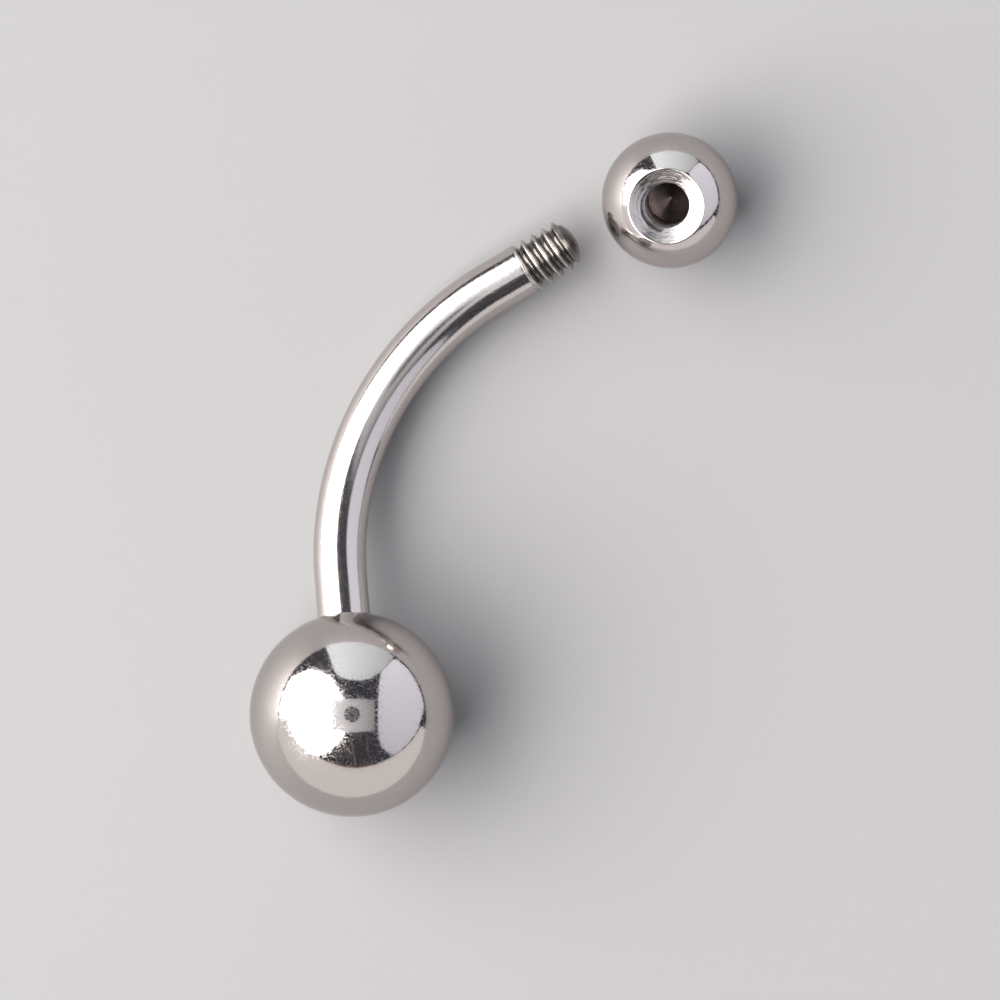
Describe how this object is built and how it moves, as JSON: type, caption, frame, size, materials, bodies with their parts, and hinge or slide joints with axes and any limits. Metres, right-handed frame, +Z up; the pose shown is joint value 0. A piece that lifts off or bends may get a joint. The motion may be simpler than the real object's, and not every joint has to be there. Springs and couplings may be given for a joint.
{
  "type": "belly bar",
  "caption": "Curved steel belly bar with a large fixed ball and a threaded end, with its small screw-on ball taken off and lying hole up beside it.",
  "frame": {"origin": "the middle of the footprint's box, on the surface that the pieces lie on", "axes": "+Y from the large ball towards the small ball, +X to the side that the bar bends to, +Z up from the surface"},
  "size_m": [0.0142, 0.02, 0.006],
  "materials": {
    "bar_steel": "mirror-polished stainless steel wire, with a duller cut thread at its end",
    "ball_steel": "mirror-polished stainless steel with fine scratches"
  },
  "bodies": {
    "root": {"curved_bar": "bar_steel", "large_ball": "ball_steel", "small_ball": "ball_steel"}
  },
  "joints": []
}
